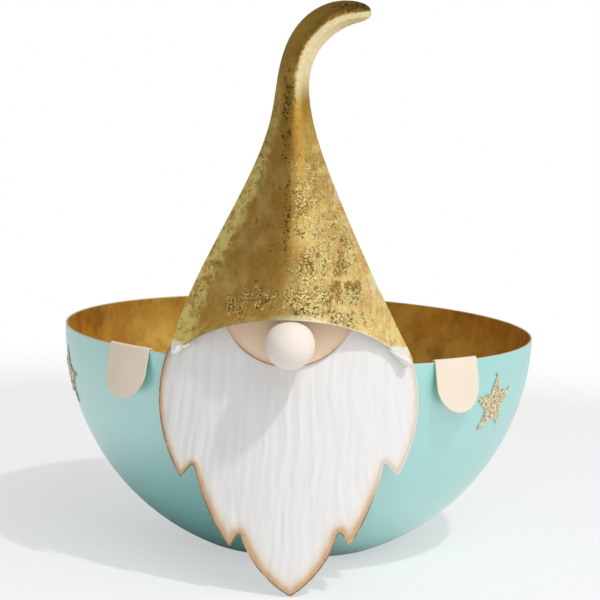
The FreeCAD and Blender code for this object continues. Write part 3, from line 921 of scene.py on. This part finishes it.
@dataclass
class BeardPlate:
    """The beard: a bent plate whose front is combed into shallow locks of hair."""

    frame: dict
    front_radius: float = 101.3 * MM
    back_radius: float = 100.3 * MM
    column: float = 0.45 * MM
    row: float = 1.1 * MM
    fan: float = 0.30
    sways: Rows = ((1.9, 0.05, 0.055, 3.1), (0.8, 0.14, 0.13, 7.7))
    locks: Rows = ((0.34 * MM, 0.41, 0.036, 11.0), (0.12 * MM, 0.80, 0.050, 23.0))
    outline_step: float = 0.5 * MM

    def __post_init__(self) -> None:
        """Reads the plate's box."""
        self.low, self.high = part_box("beard")

    @staticmethod
    def waves(kinds: Rows, across: float, down: float) -> float:
        """Smooth noises added up: each a height, waves per millimetre across and down, a seed."""
        return sum(h * noise.noise(Vector((across * a, down * d, seed))) for h, a, d, seed in kinds)

    def relief(self, x: float, z: float) -> float:
        """How far the hair stands out at a place on the plate, in metres."""
        fall = (self.high.z - z) / (self.high.z - self.low.z)
        across, down = x / MM / (1 + self.fan * fall), z / MM
        return self.waves(self.locks, across + self.waves(self.sways, across, down), down)

    def cutter(self) -> tuple[bpy.types.Object, kdtree.KDTree]:
        """The plate's outline as a deep block, and points along its front edge."""
        block = Bench.copy_of(self.frame["nodes"]["beard"], "beard_cutter")
        front = self.front_radius - 0.1 * MM
        back = self.back_radius + 0.1 * MM
        points = self.edge_points(block, front)
        for test, way in (
            (lambda co: math.hypot(co.x, co.y) > front, -5 * MM),
            (lambda co: math.hypot(co.x, co.y) < back, 5 * MM),
        ):
            Bench.pick(block, test)
            bpy.ops.transform.translate(value=(0, way, 0))
            Bench.done()
        return block, points

    def edge_points(self, block: bpy.types.Object, front: float) -> kdtree.KDTree:
        """Points along the sharp edges of the plate's front."""
        mesh = bmesh.new()
        mesh.from_mesh(block.data)
        found = []
        for edge in mesh.edges:
            ends = [v.co.copy() for v in edge.verts]
            if len(edge.link_faces) != 2 or edge.calc_face_angle() < math.radians(40):
                continue
            if any(math.hypot(co.x, co.y) < front for co in ends):
                continue
            steps = max(1, int((ends[1] - ends[0]).length / self.outline_step))
            found += [ends[0].lerp(ends[1], i / steps) for i in range(steps + 1)]
        mesh.free()
        tree = kdtree.KDTree(len(found))
        for i, co in enumerate(found):
            tree.insert(co, i)
        tree.balance()
        return tree

    def build(self) -> bpy.types.Object:
        """The plate: a grid given depth, combed, bent round the bowl and cut to its outline."""
        half = max(-self.low.x, self.high.x) + 2 * MM
        bottom, top = self.low.z - 2 * MM, self.high.z + 2 * MM
        block, points = self.cutter()
        Bench.clear()
        bpy.ops.mesh.primitive_grid_add(
            x_subdivisions=int(2 * half / self.column),
            y_subdivisions=int((top - bottom) / self.row),
            size=1,
            location=(0, -self.front_radius, (bottom + top) / 2),
            rotation=(math.radians(90), 0, 0),
        )
        bpy.context.object.scale = (2 * half, top - bottom, 1)
        plate = Bench.named("beard_plate")
        bpy.ops.object.mode_set(mode="EDIT")
        bpy.ops.mesh.select_all(action="SELECT")
        depth = self.front_radius - self.back_radius
        bpy.ops.mesh.extrude_region_move(TRANSFORM_OT_translate={"value": (0, depth, 0)})
        Bench.done()
        middle = -(self.front_radius + self.back_radius) / 2
        for vertex in plate.data.vertices:
            x, y, z = vertex.co
            is_front = y < middle
            radius = self.front_radius + self.relief(x, z) if is_front else self.back_radius
            vertex.co.y = -math.sqrt(radius**2 - x**2)
        Bench.outwards(plate)
        Bench.modify(plate, "BOOLEAN", operation="INTERSECT", object=block, solver="EXACT")
        bpy.data.objects.remove(block)
        Bench.outwards(plate, 1e-7)
        edge = plate.data.attributes.new("edge", "FLOAT", "POINT")
        values = [points.find(vertex.co)[2] / MM for vertex in plate.data.vertices]
        edge.data.foreach_set("value", values)
        Bench.smooth(plate)
        BeardPaint().coat(plate)
        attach(plate, BODY)
        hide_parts("beard")
        return plate


@dataclass
class WeldBeads:
    """The beads that hold one joint, rippled as weld metal sets."""

    frame: dict
    node: str
    finish: Finish
    grain: float = 0.16 * MM
    ripple: float = 0.35 * MM
    ripple_size: float = 1.1 * MM

    def shape(self) -> bpy.types.Object:
        """The joint's beads as plain lumps."""
        return Bench.copy_of(self.frame["nodes"][self.node], self.node + "_beads")

    def build(self) -> bpy.types.Object:
        """The lumps with ripples, mostly inwards, so that they stay in their corners."""
        piece = self.shape()
        Bench.modify(piece, "REMESH", mode="VOXEL", voxel_size=self.grain)
        clouds = bpy.data.textures.new("ripples", "CLOUDS")
        clouds.noise_scale = self.ripple_size
        clouds.noise_depth = 2
        ripples = {"texture": clouds, "texture_coords": "LOCAL", "mid_level": 0.7}
        Bench.modify(piece, "DISPLACE", strength=self.ripple, **ripples)
        Bench.modify(piece, "SMOOTH", factor=0.5, iterations=2)
        Bench.smooth(piece, 60)
        self.finish.coat(piece)
        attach(piece, BODY)
        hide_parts(self.node)
        return piece


@dataclass
class HatWelds(WeldBeads):
    """The smeared welds at the hat's corners, where they lie over hem and beard."""

    ripple: float = 0.8 * MM
    ripple_size: float = 1.5 * MM
    lumps: tuple[tuple[Point, Point, float], ...] = (
        ((-44.3, -93.8, 95.0), (3.2, 1.4, 1.4), -36.0),
        ((-40.6, -94.9, 97.2), (2.6, 1.0, 0.9), -36.0),
        ((43.6, -94.0, 95.0), (3.8, 1.6, 1.8), 34.0),
        ((39.6, -95.0, 97.6), (3.2, 1.2, 1.1), 36.0),
    )

    def shape(self) -> bpy.types.Object:
        """A few flattened balls along each corner, as one piece."""
        made = []
        for centre, half, tilt in self.lumps:
            Bench.clear()
            bpy.ops.mesh.primitive_ico_sphere_add(
                subdivisions=4,
                radius=1,
                location=Vector(centre) * MM,
                rotation=(0, math.radians(tilt), 0),
                scale=Vector(half) * MM,
            )
            made.append(Bench.named("hat_weld_lump"))
        Bench.take(made[0])
        for lump in made:
            lump.select_set(True)
        bpy.ops.object.join()
        piece = bpy.context.object
        piece.name = piece.data.name = self.node + "_beads"
        return piece


@dataclass
class NoseScrew:
    """The nose's screw, with a cross cut into its head."""

    frame: dict
    slot_length: float = 3.4 * MM
    slot_width: float = 0.75 * MM
    slot_depth: float = 1.1 * MM
    slot_taper: float = 0.6
    edge: float = 0.06 * MM

    def build(self) -> bpy.types.Object:
        """The turned screw with two tapered slots cut crosswise."""
        screw = Bench.copy_of(self.frame["nodes"]["nose_screw"], "screw_body")
        low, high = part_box("nose_screw")
        middle = Vector(((low.x + high.x) / 2, high.y, (low.z + high.z) / 2))
        bottom = middle.y - self.slot_depth
        for turn in (45, 135):
            Bench.clear()
            bpy.ops.mesh.primitive_cube_add(
                size=2,
                location=middle,
                rotation=(0, math.radians(turn), 0),
                scale=(self.slot_length / 2, self.slot_depth, self.slot_width / 2),
            )
            cutter = Bench.named("slot_cutter")
            Bench.pick(cutter, lambda co: co.y < bottom + self.edge)
            bpy.ops.transform.resize(value=(self.slot_taper, 1, self.slot_taper))
            Bench.done()
            Bench.modify(screw, "BOOLEAN", operation="DIFFERENCE", object=cutter, solver="EXACT")
            bpy.data.objects.remove(cutter)
        Bench.outwards(screw, 1e-7)
        Bench.modify(screw, "BEVEL", width=self.edge, segments=2, limit_method="ANGLE")
        Bench.smooth(screw)
        ScrewSteel().coat(screw)
        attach(screw, BODY)
        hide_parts("nose_screw")
        return screw


@dataclass
class GlitterStar:
    """A star's glitter: hexagonal flakes strewn over its layer of glue."""

    frame: dict
    node: str
    seed: int
    flakes: int = 620
    flake_radius: float = 0.50 * MM
    flake_thickness: float = 0.05 * MM
    tilt: float = 24.0
    overhang: float = 0.55 * MM

    def flake(self) -> bpy.types.Mesh:
        """One flake, lying flat at the origin."""
        Bench.clear()
        bpy.ops.mesh.primitive_cylinder_add(
            vertices=6, radius=self.flake_radius, depth=self.flake_thickness
        )
        piece = Bench.named("flake")
        mesh = piece.data.copy()
        bpy.data.objects.remove(piece)
        return mesh

    def build(self) -> bpy.types.Object:
        """The flakes of one star as one mesh."""
        chance = random.Random(self.seed)
        source = self.frame["nodes"][self.node]
        low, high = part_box(self.node)
        sphere = Vector((0, 0, RIM_HEIGHT_MM * MM))
        faces = []
        for polygon in source.data.polygons:
            outward = (polygon.center - sphere).normalized()
            if polygon.normal.dot(outward) > 0.9:
                corners = [source.data.vertices[i].co.copy() for i in polygon.vertices]
                faces.append((polygon.area, outward, corners))
        weights = [face[0] for face in faces]
        flake = self.flake()
        mesh = bmesh.new()
        for _, outward, (a, b, c) in chance.choices(faces, weights, k=self.flakes):
            u, v = chance.random(), chance.random()
            if u + v > 1:
                u, v = 1 - u, 1 - v
            spot = a + (b - a) * u + (c - a) * v + outward * chance.uniform(0, 0.18) * MM
            lean = Vector((chance.gauss(0, 1), chance.gauss(0, 1), chance.gauss(0, 1)))
            axis = outward.cross(lean).normalized()
            spot += axis * chance.uniform(0, self.overhang)
            angle = math.radians(abs(chance.gauss(0, self.tilt / 2)))
            upright = outward.to_track_quat("Z", "Y").to_matrix().to_4x4()
            turn = Matrix.Rotation(angle, 4, axis) @ upright
            size = chance.uniform(0.65, 1.25)
            spin = Matrix.Rotation(chance.uniform(0, math.tau), 4, "Z")
            place = Matrix.Translation(spot) @ turn @ spin @ Matrix.Scale(size, 4)
            start = len(mesh.verts)
            mesh.from_mesh(flake)
            mesh.verts.ensure_lookup_table()
            bmesh.ops.transform(mesh, matrix=place, verts=mesh.verts[start:])
        name = self.node.replace("star", "glitter")
        data = bpy.data.meshes.new(name)
        mesh.to_mesh(data)
        mesh.free()
        piece = Bench.placed(name, data)
        Glitter().coat(piece)
        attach(piece, BODY)
        return piece


@dataclass
class Gnome:
    """The gnome's carried-over pieces and their finishes."""

    frame: dict
    face_radius: float = 27.3
    face_tones: Tones = ((0.98, 0.77, 0.55), (0.94, 0.71, 0.50))
    nose_tones: Tones = ((0.88, 0.79, 0.70), (0.86, 0.75, 0.645))

    def dress(self) -> None:
        """Gives each CAD node that stays its finish."""
        nodes = self.frame["nodes"]
        low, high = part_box("face")
        centre = ((low.x + high.x) / 2 / MM, low.z / MM + self.face_radius)
        face_paint = SkinPaint("face_paint", Slot.SKIN, *self.face_tones, centre, self.face_radius)
        finishes = {
            "bowl": BowlFinish(),
            "hat": HatLeaf(),
            "face": face_paint,
            "nose": SkinPaint("nose_paint", Slot.NOSE, *self.nose_tones),
            "hand_left": SkinPaint(),
            "hand_right": SkinPaint(),
        }
        for name, finish in finishes.items():
            finish.coat(nodes[name])
        for name in nodes:
            if name.startswith("star"):
                Glitter("glitter_layer", Slot.GLITTER, 0.45).coat(nodes[name])


# ---------------------------------------------------------------- studio


@dataclass(frozen=True)
class Viewpoint:
    """The camera, seen from its aim."""

    aim: Point = (0.0, 0.0, 0.10352)
    distance: float = 0.930
    azimuth: float = 1.65
    elevation: float = 7.73
    roll: float = -2.113
    lens: float = 129.666
    sensor: float = 36.0

    def build(self) -> None:
        """Makes the scene's camera."""
        a, e, r = (math.radians(v) for v in (self.azimuth, self.elevation, self.roll))
        back = Vector((math.sin(a) * math.cos(e), -math.cos(a) * math.cos(e), math.sin(e)))
        level = Vector((math.cos(a), math.sin(a), 0))
        upright = back.cross(level)
        right = level * math.cos(r) - upright * math.sin(r)
        up = upright * math.cos(r) + level * math.sin(r)
        data = bpy.data.cameras.new("camera")
        data.lens = self.lens
        data.sensor_width = self.sensor
        data.clip_start, data.clip_end = 0.01, 20.0
        camera = Bench.placed("camera", data)
        turn = Matrix((right, up, back)).transposed().to_4x4()
        camera.matrix_world = Matrix.Translation(Vector(self.aim) + back * self.distance) @ turn
        bpy.context.scene.camera = camera


@dataclass(frozen=True)
class Lamp:
    """A round lamp that shines at the object's middle and shows in no reflection."""

    name: str
    towards: Point
    distance: float
    size: float
    watts: float
    aim: Point = (0.0, -0.03, 0.09)

    def build(self) -> None:
        """Makes the lamp."""
        data = bpy.data.lights.new(self.name, "AREA")
        data.shape = "DISK"
        data.size = self.size
        data.energy = self.watts
        lamp = Bench.placed(self.name, data)
        way = Vector(self.towards).normalized()
        lamp.location = Vector(self.aim) + way * self.distance
        lamp.rotation_mode = "QUATERNION"
        lamp.rotation_quaternion = way.to_track_quat("Z", "Y")
        lamp.visible_glossy = False


class Studio:
    """Lamps, floor, backdrop and camera."""

    lamps = (
        Lamp("key", (0.93, -1.0, 1.88), 1.6, 0.08, 10.3),
        Lamp("softbox", (0.5, -1.0, 1.1), 1.5, 1.0, 4.2),
    )

    def world(self) -> None:
        """A white backdrop for the camera, soft light, and a room to mirror lit from the right."""
        world = bpy.data.worlds.new("studio")
        bpy.context.scene.world = world
        world.use_nodes = True
        graph = Graph(world.node_tree)
        way = graph.add("TexCoord", {}, {}, "Generated")
        x, y, z = graph.axes(way)
        camera, mirrored = graph.rays()
        side = (x * 0.87 - y * 0.5).larger(0) ** 2.5
        room = (0.30 + side * 1.05) * (1 - graph.between(z, 0.25, 0.85) * 0.5)
        soft = graph.blend(graph.between(x * 0.35 - y * 0.2 + z * 0.8, -0.8, 0.9), 0.12, 0.52)
        soft = soft + (x * 0.76 - y * 0.65).larger(0) ** 2 * 0.10
        level = graph.blend(mirrored, soft, room)
        level = graph.blend(camera, level, 1.0)
        shine = graph.add("Background", {}, {"Color": (*WHITE, 1.0), "Strength": level})
        graph.add("OutputWorld", {}, {"Surface": shine})

    def floor(self) -> None:
        """The floor under the object."""
        Bench.clear()
        bpy.ops.mesh.primitive_circle_add(vertices=96, radius=2.5, fill_type="NGON")
        floor = Bench.named("floor")
        floor.data.materials.append(FloorFinish().material())
        floor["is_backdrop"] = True

    def build(self) -> None:
        """Sets everything up."""
        Viewpoint().build()
        for lamp in self.lamps:
            lamp.build()
        self.world()
        self.floor()
        bpy.context.scene.view_settings.view_transform = "Standard"


def main() -> None:
    """Builds the looks in order."""
    logging.basicConfig(level=logging.INFO, format="%(name)s: %(message)s")
    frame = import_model()
    cad_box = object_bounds()
    Studio().build()
    Gnome(frame).dress()
    white = WeldFinish()
    aqua = WeldFinish("weld_aqua", Slot.AQUA, (0.24, 0.56, 0.52), (0.10, 0.28, 0.25))
    gold = WeldFinish("weld_gold", Slot.GOLD, (0.6, 0.38, 0.1), (0.2, 0.1, 0.03), 0.8)
    pieces = [
        BeardPlate(frame).build(),
        HatWelds(frame, "hat_welds", white).build(),
        WeldBeads(frame, "rim_welds", aqua).build(),
        WeldBeads(frame, "hand_welds", gold).build(),
        NoseScrew(frame).build(),
    ]
    stars = sorted(name for name in frame["nodes"] if name.startswith("star"))
    pieces += [GlitterStar(frame, name, 11 + i).build() for i, name in enumerate(stars)]
    for piece in pieces:
        LOG.info("%s: %d faces", piece.name, len(piece.data.polygons))
    visual_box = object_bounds()
    sizes = {"cad": [list(v) for v in cad_box], "visual": [list(v) for v in visual_box]}
    for name, box in sizes.items():
        LOG.info("%s box %s", name, box)


if __name__ == "__main__":
    main()
